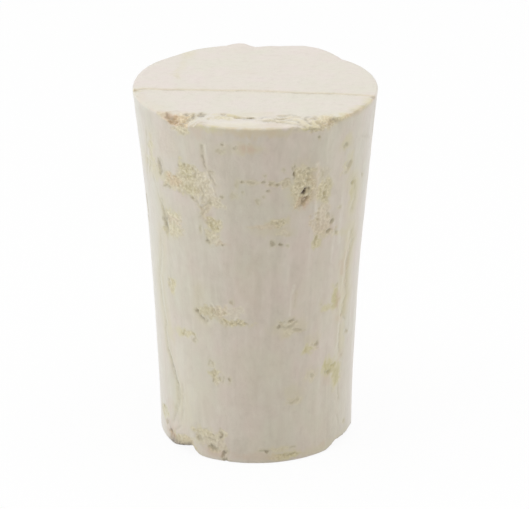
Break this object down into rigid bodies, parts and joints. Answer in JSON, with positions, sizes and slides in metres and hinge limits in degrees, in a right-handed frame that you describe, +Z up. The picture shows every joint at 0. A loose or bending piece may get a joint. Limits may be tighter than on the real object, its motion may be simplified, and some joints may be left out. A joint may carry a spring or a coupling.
{
  "type": "tapered cork stopper",
  "caption": "Solid tapered stopper of pale natural cork, wider at the head than at the foot, with open pores, a chipped rim and a broken foot edge.",
  "frame": {"origin": "centre of the flat foot face, the narrow end, which the stopper stands on", "axes": "+Z up along the taper from the foot to the head; -Y is the front, the side with the large break in the foot at its left; +X to the right seen from the front"},
  "size_m": [0.025, 0.025, 0.0381],
  "materials": {
    "cork": "matte, pale bleached natural cork, uncoated"
  },
  "bodies": {
    "root": {"stopper": "cork"}
  },
  "joints": []
}
